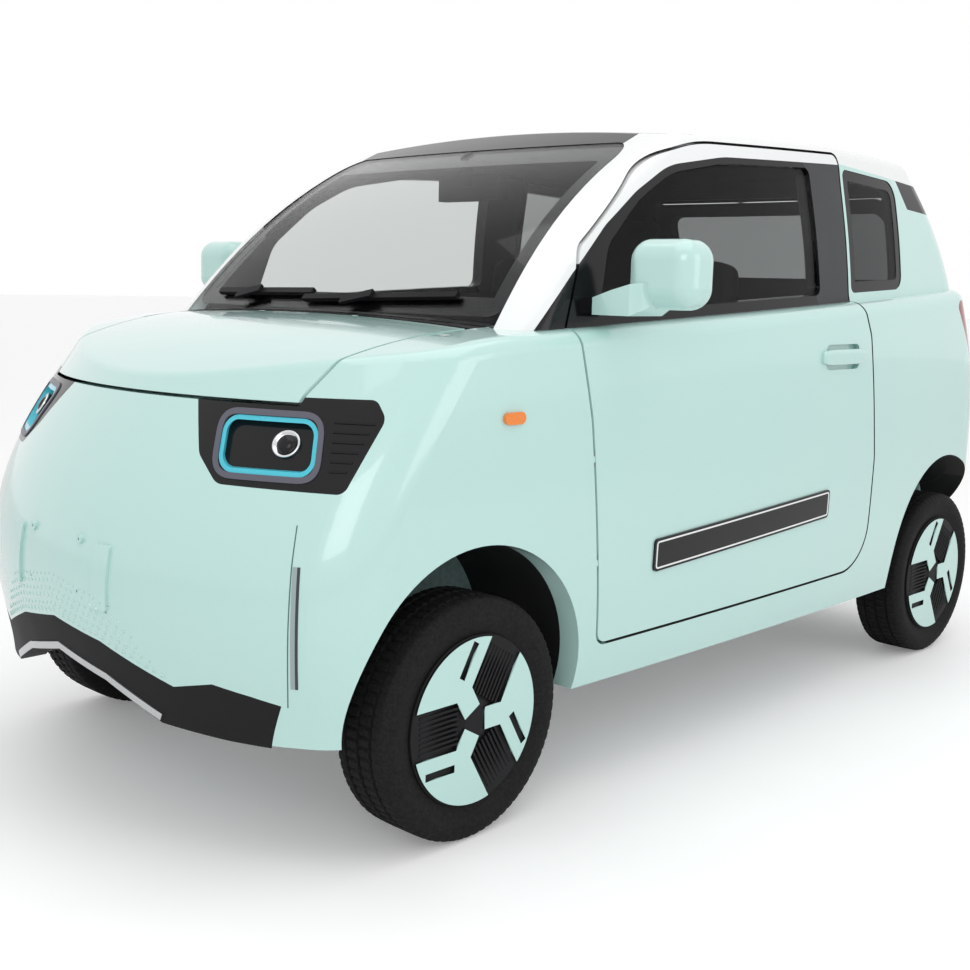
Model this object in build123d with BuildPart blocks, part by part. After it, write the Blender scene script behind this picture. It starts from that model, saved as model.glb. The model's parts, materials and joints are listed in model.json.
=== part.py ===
"""Small two-door electric city car: X forward, Y left, Z up, ground at z = 0, millimetres."""

import os
from math import cos, hypot, radians, sin, sqrt

from build123d import *

os.makedirs("parts", exist_ok=True)

# Overall size
LENGTH = 3130
WIDTH = 1480
HEIGHT = 1622
WHEELBASE = 2190
FRONT_OVERHANG = 580
FRONT = LENGTH / 2
REAR = -LENGTH / 2
HALF = WIDTH / 2
AXLE_F = FRONT - FRONT_OVERHANG
AXLE_R = AXLE_F - WHEELBASE

# Wheels: 155/65 R13
TYRE_R = 266
TYRE_W = 155
RIM_R = 175
WHEEL_Y = 627
HUB_R = 55

# Walls and clearances
WALL = 55
PILLAR_WALL = 46
HOOD_WALL = 34
GAP = 7
FIT = 0.3

# Body below the belt, one row per level
LOWER_COLUMNS = ("height", "nose_back", "tail_back", "side_back", "front_radius", "rear_radius")
LOWER_ROWS = [
    (240, 26, 36, 38, 170, 210),
    (420, 4, 8, 10, 170, 210),
    (600, 0, 0, 2, 170, 210),
    (780, 68, 8, 0, 170, 205),
    (945, 180, 36, 2, 170, 200),
    (1270, 460, 165, 18, 170, 190),
]
NOSE_BOW = 240
TAIL_BOW = 40
SIDE_BOW = 40
SIDE_CROWN_X = -100

# Body above the belt, one row per level
UPPER_COLUMNS = ("height", "screen_x", "hatch_x", "half_width", "front_radius", "rear_radius")
UPPER_ROWS = [
    (1000, 950, -1455, 694, 100, 150),
    (1200, 778, -1400, 674, 100, 150),
    (1380, 575, -1298, 650, 100, 150),
    (1520, 345, -1178, 622, 100, 150),
    (1660, 40, -1040, 584, 100, 150),
]
SCREEN_BOW = 52
HATCH_BOW = 35
UPPER_SIDE_BOW = 24

# Top of the lower body along the middle: a belt line that falls forward, then the arc of the hood
BELT_X = 850
BELT_Z = 1104
BELT_FALL = 0.055
HOOD_NOSE_X = 1376
HOOD_NOSE_Z = 966
HOOD_CROWN_R = 9000
SHOULDER_R = 42

# Roof: a barrel, highest at ROOF_TOP_X
ROOF_TOP_X = -560
ROOF_LONG_R = 8000
ROOF_CROSS_R = 5500
ROOF_EDGE_R = 30

# Wheel arches
ARCH_F_R = 325
ARCH_F_Z = 320
ARCH_R_R = 338
ARCH_R_Z = 325
LINER = 6
WELL_F_Y = 392
WELL_R_Y = 500

# Outlines in the side view: x, z, corner radius
DOOR = [
    (598, 365, 30), (654, 890, 150), (692, 1083, 40), (618, 1265, 80), (345, 1485, 400), (140, 1540, 600),
    (-532, 1566, 40), (-545, 1165, 80), (-600, 1060, 80), (-662, 700, 200), (-662, 372, 130),
]
DOOR_WINDOW = [
    (578, 1122, 25), (530, 1275, 100), (400, 1386, 300), (262, 1458, 300), (36, 1498, 500),
    (-366, 1518, 25), (-388, 1172, 25),
]
WHITE_FRAME = [
    (800, 1070, 0), (660, 1205, 200), (530, 1321, 200), (407, 1404, 300), (267, 1476, 300), (36, 1514, 500),
    (-600, 1543, 0), (-600, 1700, 0), (1000, 1700, 0), (1000, 1070, 0),
]
QUARTER_BORDER = 30
QUARTER_FRAME_DEPTH = 22
QUARTER_WINDOW = [(-566, 1180, 20), (-893, 1196, 45), (-893, 1516, 60), (-554, 1530, 20)]
BLACK_WEDGE = [(-908, 1523, 0), (-1300, 1502, 0), (-1300, 1422, 0), (-972, 1440, 0)]
ROOF_RAIL = [
    (1100, 1000, 0), (1100, 1750, 0), (-1300, 1750, 0), (-1300, 1502, 0), (-500, 1545, 0), (-500, 1000, 0),
]
TAIL_LAMP = [(-1700, 1165, 0), (-1225, 1165, 20), (-1395, 930, 20), (-1700, 930, 0)]
REAR_BUMPER = [(-1700, 285, 0), (-1440, 285, 0), (-1440, 640, 30), (-1490, 700, 30), (-1700, 700, 0)]

# Outlines in the end view: y, z, corner radius
WINDSHIELD = [(592, 1040, 40), (520, 1535, 60), (-520, 1535, 60), (-592, 1040, 40)]
TAILGATE = [
    (468, 1488, 60), (-468, 1488, 60), (-556, 1150, 90), (-556, 760, 60), (556, 760, 60), (556, 1150, 90),
]
LIP_TOP = [(0, 456), (160, 430), (345, 364), (435, 384), (510, 368), (900, 268)]
LIP_BOTTOM = [(0, 376), (160, 340), (302, 277), (454, 264), (900, 240)]
PLATE_BAR = [(152, 500, 6), (198, 500, 6), (198, 636, 6), (152, 636, 6)]
PLATE_BAR_PROUD = 6
HATCH_WINDOW = [(425, 1446, 50), (-425, 1446, 50), (-492, 1226, 50), (492, 1226, 50)]

# Outlines in the plan view: x, y, corner radius
HOOD = [
    (1700, -474, 0), (1700, 474, 0), (1272, 478, 40), (1215, 500, 60), (891, 550, 0),
    (891, -550, 0), (1215, -500, 60), (1272, -478, 40),
]
ROOF_PANEL = [(500, 490, 0), (-1300, 490, 0), (-1300, -490, 0), (500, -490, 0)]

# Levels and lines where fixed panels meet
HOOD_Z = 938
BUMPER_X = 1392
SILL_TOP = DOOR[0][1] - GAP
SILL_BOTTOM = 265
FENDER_BACK_X = 560
COWL_X = 877
COWL_Y = 560
LID_GAP = 14
DOOR_INNER_Y = 560
PLATE_Z = 582
PLATE_HOLES = (196, 110)
PLATE_HOLE_R = 3
PLATE_BOSS_R = 10
PLATE_SEAT_X = FRONT - 5
LAMP_SIDE_Y = 578

# Head lamps: outline on an upright plane turned LAMP_TURN from facing forward; u runs outward
LAMP_TURN = 40
LAMP = [(-690, 946, 6), (-298, 950, 20), (-276, 915, 25), (-347, 774, 25), (-612, 778, 30), (-660, 830, 30)]
LAMP_RING = (-512, 855, 206, 108, 34)
LAMP_TUBE = 9
CORNER_SLOT = [(-442, 394, 5), (-427, 394, 5), (-422, 638, 5), (-437, 638, 5)]
SLOT_DEPTH = 14

# Hinges: pins standing in the gaps of the doors, the hood and the tailgate
DOOR_HINGE_Z = (560, 800)
DOOR_HINGE_DEPTH = 3.5
DOOR_PIN_R = 1.6
LID_PIN_R = 3
HOOD_HINGE_Y = 180
HATCH_HINGE_Y = 120
LID_HINGE_DEPTH = 6
HINGE_LENGTH = 36

# Steering and axles
KINGPIN_Y = 600
KINGPIN_R = 8
SPINDLE_R = 20
SPINDLE_END_Y = 672
ARM_LOW_Z = 160
ARM_HIGH_Z = 382
KNUCKLE_Z = (176, 364)
FLOOR_Z = (290, 315)
BAY_Z = (300, 320)
BULKHEAD_X = (640, 665)
BOOT_Z = (560, 580)
BOOT_X = -860

# Cabin
STEER_HUB = (400, 330, 975)
STEER_R = 178
STEER_GRIP_R = 15
STEER_LEAN = 28
SEAT_Y = 330
DASH = [
    (BULKHEAD_X[0], 640, 0), (BULKHEAD_X[0], 1035, 10), (600, 1062, 30), (470, 1040, 40), (420, 960, 40),
    (470, 760, 60), (560, 640, 30),
]
SEAT_SIDE = [
    (300, 420, 40), (290, 510, 50), (-120, 480, 40), (-215, 1040, 30), (-330, 1040, 30), (-260, 420, 60),
]
BENCH_SIDE = [
    (-560, BOOT_Z[1] - 190, 20), (-560, 500, 40), (-880, 600, 30), (-1010, 1060, 40), (-1110, 1060, 30),
    (-1000, BOOT_Z[1], 0), (BOOT_X, BOOT_Z[1], 0), (BOOT_X, BOOT_Z[1] - 190, 0),
]

# Door furniture
HANDLE = [(-318, 985, 12), (-318, 1022, 12), (-545, 1022, 12), (-545, 985, 12)]
HANDLE_POCKET = [(-340, 968, 18), (-340, 1038, 18), (-530, 1038, 18), (-530, 968, 18)]
POCKET_DEPTH = 16
DOOR_PAD = [(418, 510, 12), (418, 590, 12), (-398, 632, 12), (-398, 552, 12)]
MIRROR_BOX = ((468, 592), (738, 916), (1134, 1288))
MIRROR_ROUNDING = 48
MIRROR_FOOT = ((562, 622), (655, 785), (1123, 1157))
HANDLE_MIDDLE = (-430, 1004)
REPEATER_MIDDLE = (905, 906)

# Wheels: profiles as offset outward along Y, radius, corner rounding
TYRE_PROFILE = [
    (-62, RIM_R, 4), (-70, 205, 10), (-77.5, 225, 12), (-74, 255, 14), (-62, TYRE_R, 8),
    (62, TYRE_R, 8), (74, 255, 14), (77.5, 225, 12), (70, 205, 10), (62, RIM_R, 4),
]
RIM_PROFILE = [
    (-62, RIM_R, 0), (62, RIM_R, 0), (66, 186, 2), (72, 186, 2), (73, 150, 3), (64, 60, 6), (70, 45, 3),
    (74, 30, 2), (74, 0, 0), (46, 0, 0), (46, SPINDLE_R + FIT, 0), (8, SPINDLE_R + FIT, 0), (8, 48, 4),
    (30, 60, 8), (30, 150, 10), (-62, 160, 3),
]
BLADE_BAND = 52
BLADE_SLOT = (84, 17)
BLADE_SLOT_PLACE = (105, -90)
BLADE_ROOT_R = 26
BLADE_ROOT_WIDTH = 50
RIB_LENGTH = 110
RIB_WIDTH = 5
RIB_PITCH = 11
RIB_COUNT = 8
RIB_FACE = 74
BLADE_FACE = 77
BLADE_BACK = 66
WHEEL_COLUMNS = ("suffix", "axle_x", "side")
WHEEL_ROWS = [("fl", AXLE_F, 1), ("fr", AXLE_F, -1), ("rl", AXLE_R, 1), ("rr", AXLE_R, -1)]

# Reach of cutting solids beyond the car
far = 3000


def rows_as_dicts(columns, rows):
    return [dict(zip(columns, row)) for row in rows]


def corner_points(corners):
    return [(across, up) for across, up, radius in corners]


def corner_radii(corners):
    return [radius for across, up, radius in corners]


def side_prism(corners, grow=0, y_from=250, y_to=1000):
    """Prism along Y from an outline in the side view, corners given as x, z, radius"""
    with BuildPart() as prism:
        with BuildSketch(Plane.XZ.offset(-y_from)):
            with BuildLine():
                FilletPolyline(*corner_points(corners), radius=corner_radii(corners), close=True)
            make_face()
            if grow:
                offset(amount=grow)
        extrude(amount=y_from - y_to)
    return prism.part


def end_prism(corners, x_from, x_to, grow=0):
    """Prism along X from an outline in the end view, corners given as y, z, radius"""
    with BuildPart() as prism:
        with BuildSketch(Plane.YZ.offset(x_from)):
            with BuildLine():
                FilletPolyline(*corner_points(corners), radius=corner_radii(corners), close=True)
            make_face()
            if grow:
                offset(amount=grow)
        extrude(amount=x_to - x_from)
    return prism.part


def plan_prism(corners, z_from, z_to, grow=0):
    """Prism along Z from an outline in the plan view, corners given as x, y, radius"""
    with BuildPart() as prism:
        with BuildSketch(Plane.XY.offset(z_from)):
            with BuildLine():
                FilletPolyline(*corner_points(corners), radius=corner_radii(corners), close=True)
            make_face()
            if grow:
                offset(amount=grow)
        extrude(amount=z_to - z_from)
    return prism.part


def block(x_range, y_range, z_range):
    """Box from its limits along X, Y and Z"""
    with BuildPart() as box:
        middle = [(low + high) / 2 for low, high in (x_range, y_range, z_range)]
        size = [high - low for low, high in (x_range, y_range, z_range)]
        with Locations(tuple(middle)):
            Box(*size)
    return box.part


def bar_y(x, z, radius, y_from, y_to):
    """Round bar along Y"""
    with BuildPart() as bar:
        with BuildSketch(Plane.XZ.offset(-y_from)):
            with Locations((x, z)):
                Circle(radius)
        extrude(amount=y_from - y_to)
    return bar.part


def combine(base, keep=(), cut=(), join=()):
    """Base kept inside each solid of keep, less each of cut, with each of join added"""
    with BuildPart() as result:
        add(base)
        for solid in keep:
            add(solid, mode=Mode.INTERSECT)
        for solid in cut:
            add(solid, mode=Mode.SUBTRACT)
        for solid in join:
            add(solid)
    return result.part


def right_side(solid):
    with BuildPart() as other:
        mirror(solid, about=Plane.XZ)
    return other.part


def both_sides(solid):
    with BuildPart() as pair:
        add(solid)
        mirror(solid, about=Plane.XZ)
    return pair.part


def save(solid, name):
    solid.label = name
    export_step(solid, f"parts/{name}.step")
    print(name, len(solid.solids()), "solids", round(solid.volume / 1e6, 2), "litres")


def rounded_outline(height, nose, tail, half, bows, radii):
    """Plan outline of four bowed sides with rounded corners, bows given as nose, tail, side"""
    nose_bow, tail_bow, side_bow = bows
    corner = half - side_bow
    with BuildSketch(Plane.XY.offset(height)) as level:
        with BuildLine():
            ThreePointArc((nose - nose_bow, -corner), (nose, 0), (nose - nose_bow, corner))
            ThreePointArc((nose - nose_bow, corner), (SIDE_CROWN_X, half), (tail + tail_bow, corner))
            ThreePointArc((tail + tail_bow, corner), (tail, 0), (tail + tail_bow, -corner))
            ThreePointArc((tail + tail_bow, -corner), (SIDE_CROWN_X, -half), (nose - nose_bow, -corner))
        make_face()
        fillet(level.vertices().group_by(Axis.X)[-1], radii[0])
        fillet(level.vertices().group_by(Axis.X)[0], radii[1])
    return level.sketch


def lower_body(inset, drop):
    """Lower body with every side moved in by inset and its top moved down by drop"""
    levels = []
    for row in rows_as_dicts(LOWER_COLUMNS, LOWER_ROWS):
        nose = FRONT - row["nose_back"] - inset
        tail = REAR + row["tail_back"] + inset
        half = HALF - row["side_back"] - inset
        radii = (row["front_radius"] - inset, row["rear_radius"] - inset)
        bows = (NOSE_BOW, TAIL_BOW, SIDE_BOW)
        levels.append(rounded_outline(row["height"], nose, tail, half, bows, radii))
    with BuildPart() as body:
        loft(levels)
        with BuildSketch(Plane.XZ):
            with BuildLine():
                belt_back = (REAR - 200, BELT_Z + BELT_FALL * (BELT_X - REAR + 200) - drop)
                belt = Line(belt_back, (BELT_X, BELT_Z - drop))
                hood = TangentArc(belt @ 1, (HOOD_NOSE_X, HOOD_NOSE_Z - drop), tangent=belt % 1)
                ahead = hood @ 1 + (hood % 1) * 500
                Polyline(hood @ 1, ahead, (ahead.X, 100), (REAR - 200, 100), belt_back)
            make_face()
        revolve(axis=Axis((0, 0, BELT_Z - HOOD_CROWN_R), (1, 0, 0)), mode=Mode.INTERSECT)
    return body.part


def upper_body(inset):
    """Upper body with every side and the roof moved in by inset"""
    levels = []
    for row in rows_as_dicts(UPPER_COLUMNS, UPPER_ROWS):
        nose = row["screen_x"] - inset
        tail = row["hatch_x"] + inset
        half = row["half_width"] - inset
        radii = (row["front_radius"] - inset, row["rear_radius"] - inset)
        bows = (SCREEN_BOW, HATCH_BOW, UPPER_SIDE_BOW)
        levels.append(rounded_outline(row["height"], nose, tail, half, bows, radii))
    top = HEIGHT - inset
    edge_z = top - ROOF_CROSS_R + sqrt(ROOF_CROSS_R**2 - HALF**2)
    with BuildPart() as body:
        loft(levels)
        with BuildSketch(Plane.YZ.offset(ROOF_TOP_X)):
            with BuildLine():
                roof = ThreePointArc((-HALF, edge_z), (0, top), (HALF, edge_z))
                Polyline(roof @ 1, (HALF, 800), (-HALF, 800), roof @ 0)
            make_face()
        revolve(axis=Axis((ROOF_TOP_X, 0, HEIGHT - ROOF_LONG_R), (0, 1, 0)), mode=Mode.INTERSECT)
    return body.part


def round_top(solid, radius, level_enough):
    """Solid with the edge round its top rounded"""
    with BuildPart() as body:
        add(solid)
        top_edges = []
        for face in body.faces():
            if face.normal_at(face.center()).Z > level_enough:
                top_edges += list(face.edges())
        rim = [edge for edge in top_edges if sum(edge.is_same(other) for other in top_edges) == 1]
        fillet(rim, radius)
    return body.part


def lamp_prism(corners, grow=0):
    """Prism square to the plane of the left head lamp, corners given as u, z, radius"""
    turn = radians(LAMP_TURN)
    lamp_plane = Plane(origin=(0, 0, 0), x_dir=(-sin(turn), cos(turn), 0), z_dir=(cos(turn), sin(turn), 0))
    with BuildPart() as prism:
        with BuildSketch(lamp_plane.offset(1000)):
            with BuildLine():
                FilletPolyline(*corner_points(corners), radius=corner_radii(corners), close=True)
            make_face()
            if grow:
                offset(amount=grow)
        extrude(amount=700)
    return prism.part


lower_out = round_top(lower_body(0, 0), SHOULDER_R, 0.75)
lower_in = lower_body(WALL, HOOD_WALL)
upper_out = round_top(upper_body(0), ROOF_EDGE_R, 0.97)
upper_in = upper_body(PILLAR_WALL)

lower_shell = combine(lower_out, cut=[lower_in, upper_in])
upper_shell = combine(upper_out, cut=[upper_in, lower_out])
glass_layer = combine(upper_body(3), cut=[upper_body(9), lower_out])
side_glass_layer = combine(upper_body(8), cut=[upper_body(13), lower_out])
print("shells", lower_shell.is_valid, upper_shell.is_valid, glass_layer.is_valid)

# Cutting solids
door_zone = side_prism(DOOR, y_from=DOOR_INNER_Y)
door_opening = side_prism(DOOR, grow=GAP, y_from=DOOR_INNER_Y)
door_openings = both_sides(door_opening)
window_zone = side_prism(DOOR_WINDOW)
white_zone = side_prism(WHITE_FRAME)
quarter_zone = side_prism(QUARTER_WINDOW)
wedge_zone = side_prism(BLACK_WEDGE)
rail_zone = side_prism(ROOF_RAIL, y_from=0)
windshield_zone = end_prism(WINDSHIELD, 0, far)
tailgate_zone = end_prism(TAILGATE, -far, -950)
tailgate_hole = [(y, z + LID_GAP - GAP if z > 1400 else z, radius) for y, z, radius in TAILGATE]
tailgate_opening = end_prism(tailgate_hole, -far, -950, grow=GAP)
hatch_window_zone = end_prism(HATCH_WINDOW, -far, -950)
hood_zone = plan_prism(HOOD, HOOD_Z, 1400)
hood_opening = combine(
    plan_prism(HOOD, HOOD_Z - GAP, 1400, grow=GAP),
    join=[block((COWL_X, 1000), (-COWL_Y, COWL_Y), (HOOD_Z, 1400))])
roof_zone = plan_prism(ROOF_PANEL, 1420, 1700)
lamp_zone = lamp_prism(LAMP)
lamp_zones = both_sides(lamp_zone)
tail_lamp_zone = combine(side_prism(TAIL_LAMP), keep=[block((-far, 0), (LAMP_SIDE_Y, far), (0, far))])
rear_bumper_zone = side_prism(REAR_BUMPER, y_from=-1000)
arch_f = bar_y(AXLE_F, ARCH_F_Z, ARCH_F_R, WELL_F_Y, 900)
arch_r = bar_y(AXLE_R, ARCH_R_Z, ARCH_R_R, WELL_R_Y, 900)
arches = [arch_f, arch_r, right_side(arch_f), right_side(arch_r)]
bumper_zone = plan_prism(
    [(far, -far, 0), (far, far, 0), (BUMPER_X, far, 0), (BUMPER_X, 400, 0), (1000, 400, 0),
     (1000, -400, 0), (BUMPER_X, -400, 0), (BUMPER_X, -far, 0)], 0, HOOD_Z - GAP)


def front_zone_below(line):
    """Prism along X under a line given for the left half as y, z"""
    edge = [(-y, z) for y, z in reversed(line[1:])] + line
    with BuildPart() as zone:
        with BuildSketch(Plane.YZ.offset(AXLE_F)):
            with BuildLine():
                Polyline(*edge, (edge[-1][0], 0), (edge[0][0], 0), close=True)
            make_face()
        extrude(amount=far)
    return zone.part


# Front end
hood = combine(lower_shell, keep=[hood_zone])
front_bumper = combine(
    lower_shell, keep=[bumper_zone], cut=[lamp_zones, front_zone_below(LIP_TOP)])
with BuildPart() as plate_holes:
    with BuildSketch(Plane.YZ.offset(FRONT - 120)):
        with Locations((0, PLATE_Z)):
            with GridLocations(PLATE_HOLES[0], PLATE_HOLES[1], 2, 2):
                Circle(PLATE_HOLE_R)
    extrude(amount=200)
with BuildPart() as plate_bosses:
    with BuildSketch(Plane.YZ.offset(PLATE_SEAT_X)):
        with Locations((0, PLATE_Z)):
            with GridLocations(PLATE_HOLES[0], PLATE_HOLES[1], 2, 2):
                Circle(PLATE_BOSS_R)
    extrude(amount=-30)
bar_layer = combine(lower_body(-PLATE_BAR_PROUD, -PLATE_BAR_PROUD), cut=[lower_out])
plate_bar = combine(end_prism(PLATE_BAR, FRONT - 150, far), keep=[bar_layer])
front_bumper = combine(front_bumper, join=[both_sides(plate_bar), plate_bosses.part])
front_bumper = combine(front_bumper, cut=[plate_holes.part])
save(front_bumper, "front_bumper")
front_lip = combine(
    lower_shell, keep=[bumper_zone, front_zone_below(LIP_TOP)], cut=[front_zone_below(LIP_BOTTOM)])
save(front_lip, "front_lip")
fender_zone = combine(
    block((FENDER_BACK_X, BUMPER_X), (0, far), (SILL_TOP, far)),
    join=[block((AXLE_F, BUMPER_X), (0, far), (SILL_BOTTOM, far))])
cowl_zone = block((500, COWL_X), (-COWL_Y, COWL_Y), (900, far))
fender = combine(
    lower_shell, keep=[fender_zone],
    cut=[door_opening, hood_opening, lamp_zone, bumper_zone, arch_f, cowl_zone])
slot_layer = combine(lower_out, cut=[lower_body(SLOT_DEPTH, SLOT_DEPTH)])
slot_pocket = combine(lamp_prism(CORNER_SLOT), keep=[slot_layer])
save(both_sides(combine(fender, cut=[slot_pocket])), "fenders")
headlamp = combine(lower_shell, keep=[lamp_zone], cut=[hood_opening])

# Cabin above the belt
windshield = combine(glass_layer, keep=[windshield_zone])
save(windshield, "windshield")
roof_panel = combine(upper_shell, keep=[roof_zone], cut=[windshield_zone, tailgate_opening])
save(roof_panel, "roof_panel")
roof_frame = combine(
    upper_shell, keep=[both_sides(rail_zone)],
    cut=[windshield_zone, roof_zone, door_openings, tailgate_opening])
sail_base_zone = combine(block((BULKHEAD_X[0], far), (0, far), (0, 1300)), cut=[white_zone])
sail_base = combine(roof_frame, keep=[sail_base_zone])
save(combine(roof_frame, cut=[both_sides(sail_base_zone)]), "roof_frame")
door_upper = combine(upper_shell, keep=[door_zone], cut=[window_zone])
door_frame = combine(door_upper, keep=[white_zone])
door_trim = combine(door_upper, cut=[white_zone])
door_glass = combine(side_glass_layer, keep=[window_zone])
door = combine(lower_shell, keep=[door_zone])
quarter_pane_zone = side_prism(QUARTER_WINDOW, grow=-QUARTER_BORDER)
quarter_glass = combine(glass_layer, keep=[quarter_pane_zone])
save(both_sides(quarter_glass), "quarter_glass")
quarter_frame = combine(
    upper_body(2), keep=[quarter_zone],
    cut=[upper_body(2 + QUARTER_FRAME_DEPTH), quarter_pane_zone, lower_out])

# Sides and tail
side_zone = combine(
    block((-far, FENDER_BACK_X), (0, far), (SILL_BOTTOM, far)),
    join=[block((0, AXLE_F), (0, far), (SILL_BOTTOM, SILL_TOP))])
lower_side = combine(
    lower_shell, keep=[side_zone],
    cut=[door_opening, arch_f, arch_r, rear_bumper_zone, tailgate_opening, tail_lamp_zone, cowl_zone])
upper_side = combine(
    upper_shell, keep=[block((-far, 0), (0, far), (0, far))],
    cut=[rail_zone, roof_zone, door_opening, quarter_zone, tailgate_opening, tail_lamp_zone])
wedge = combine(upper_side, keep=[wedge_zone])
body_side = combine(lower_side, join=[combine(upper_side, cut=[wedge_zone])])
save(both_sides(body_side), "body_sides")
with BuildPart() as pillar_trims:
    for piece in (wedge, quarter_frame, sail_base):
        add(both_sides(piece))
save(pillar_trims.part, "pillar_trims")
rear_bumper = combine(
    lower_shell, keep=[rear_bumper_zone], cut=[tailgate_opening, arch_r, right_side(arch_r)])
save(rear_bumper, "rear_bumper")
tail_lamp = combine(lower_shell, keep=[tail_lamp_zone], cut=[tailgate_opening])
save(both_sides(tail_lamp), "tail_lamps")
tailgate = combine(lower_shell, join=[upper_shell])
tailgate = combine(tailgate, keep=[tailgate_zone], cut=[hatch_window_zone])
tailgate_glass = combine(glass_layer, keep=[hatch_window_zone])
save(tailgate_glass, "tailgate_glass")
cowl_panel = combine(lower_shell, keep=[cowl_zone])


def ring_about_y(profile, x, y, z):
    """Ring turned about a Y axis through x, z; profile corners as offset along Y, radius, rounding"""
    corners = [(y + along, z + radius) for along, radius, rounding in profile]
    with BuildPart() as ring:
        with BuildSketch(Plane.YZ.offset(x)):
            with BuildLine():
                FilletPolyline(*corners, radius=corner_radii(profile), close=True)
            make_face()
        revolve(axis=Axis((x, y, z), (0, 1, 0)))
    return ring.part


def wheel_at(x, side):
    """Rim with its cover, centred on the left wheel or, with side -1, on the right one"""
    rim = ring_about_y(RIM_PROFILE, x, WHEEL_Y, TYRE_R)
    with BuildPart() as blades:
        with BuildSketch(Plane.XZ.offset(-(WHEEL_Y + BLADE_BACK))):
            with Locations((x, TYRE_R)):
                Circle(182)
                Circle(36, mode=Mode.SUBTRACT)
                with PolarLocations(0, 3, start_angle=0):
                    with Locations((100, 0)):
                        Rectangle(200, 2 * BLADE_BAND, mode=Mode.SUBTRACT)
                with PolarLocations(0, 3, start_angle=60):
                    with Locations(((BLADE_ROOT_R + BLADE_BAND * 2) / 2, 0)):
                        Rectangle(BLADE_BAND * 2 - BLADE_ROOT_R, BLADE_ROOT_WIDTH)
                with PolarLocations(0, 3, start_angle=0):
                    with Locations(BLADE_SLOT_PLACE):
                        Rectangle(*BLADE_SLOT, mode=Mode.SUBTRACT)
        extrude(amount=-(BLADE_FACE - BLADE_BACK))
        with BuildSketch(Plane.XZ.offset(-(WHEEL_Y + BLADE_BACK - 4))):
            with Locations((x, TYRE_R)):
                with PolarLocations(0, 3, start_angle=0):
                    with Locations((RIB_LENGTH / 2 + BLADE_BAND, 0)):
                        with GridLocations(0, RIB_PITCH, 1, RIB_COUNT):
                            Rectangle(RIB_LENGTH, RIB_WIDTH)
        extrude(amount=-(RIB_FACE - BLADE_BACK + 4))
    with BuildPart() as wheel:
        add(rim)
        add(blades.part)
    return wheel.part if side > 0 else right_side(wheel.part)


def tyre_at(x, side):
    tyre = ring_about_y(TYRE_PROFILE, x, WHEEL_Y, TYRE_R)
    return tyre if side > 0 else right_side(tyre)


for row in rows_as_dicts(WHEEL_COLUMNS, WHEEL_ROWS):
    save(wheel_at(row["axle_x"], row["side"]), "wheel_" + row["suffix"])
    save(tyre_at(row["axle_x"], row["side"]), "tyre_" + row["suffix"])

# Knuckles, arms and axle beam
with BuildPart() as knuckle:
    with Locations((AXLE_F, KINGPIN_Y, (KNUCKLE_Z[0] + KNUCKLE_Z[1]) / 2)):
        Cylinder(22, KNUCKLE_Z[1] - KNUCKLE_Z[0])
    with BuildSketch(Plane.XZ.offset(-(KINGPIN_Y + 10))):
        with Locations((AXLE_F, TYRE_R)):
            Circle(46)
    extrude(amount=-16)
    with BuildSketch(Plane.XZ.offset(-KINGPIN_Y)):
        with Locations((AXLE_F, TYRE_R)):
            Circle(SPINDLE_R)
    extrude(amount=-(SPINDLE_END_Y - KINGPIN_Y))
    with Locations((AXLE_F, KINGPIN_Y, KNUCKLE_Z[0] + 15), (AXLE_F, KINGPIN_Y, KNUCKLE_Z[1] - 15)):
        Cylinder(KINGPIN_R + FIT, 31, mode=Mode.SUBTRACT)
save(knuckle.part, "knuckle_left")
save(right_side(knuckle.part), "knuckle_right")

with BuildPart() as low_arm:
    with Locations((AXLE_F, WELL_F_Y / 2, (ARM_LOW_Z + BAY_Z[0]) / 2)):
        Box(160, WELL_F_Y, BAY_Z[0] - ARM_LOW_Z)
    with Locations((AXLE_F, (WELL_F_Y + KINGPIN_Y + 14) / 2, ARM_LOW_Z + 5)):
        Box(34, KINGPIN_Y + 14 - WELL_F_Y, 18)
    with Locations((AXLE_F, KINGPIN_Y, ARM_LOW_Z + 20)):
        Cylinder(KINGPIN_R, 40)
with BuildPart() as high_arm:
    with Locations((AXLE_F, (WELL_F_Y + KINGPIN_Y + 14) / 2, ARM_HIGH_Z)):
        Box(34, KINGPIN_Y + 14 - WELL_F_Y, 18)
    with Locations((AXLE_F, KINGPIN_Y, ARM_HIGH_Z - 18)):
        Cylinder(KINGPIN_R, 36)
save(combine(both_sides(low_arm.part), join=[both_sides(high_arm.part)]), "front_suspension")

with BuildPart() as rear_beam:
    add(bar_y(AXLE_R, TYRE_R, 30, -545, 545))
    add(bar_y(AXLE_R, TYRE_R, SPINDLE_R, -SPINDLE_END_Y, SPINDLE_END_Y))
    for side in (1, -1):
        with Locations(((AXLE_R + BOOT_X + 20) / 2, side * 420, FLOOR_Z[0] - 20)):
            Box(BOOT_X + 20 - AXLE_R, 44, 40)
        with Locations((AXLE_R + 30, side * 380, (TYRE_R + BOOT_Z[0]) / 2)):
            Cylinder(28, BOOT_Z[0] - TYRE_R)
save(rear_beam.part, "rear_axle")

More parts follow.
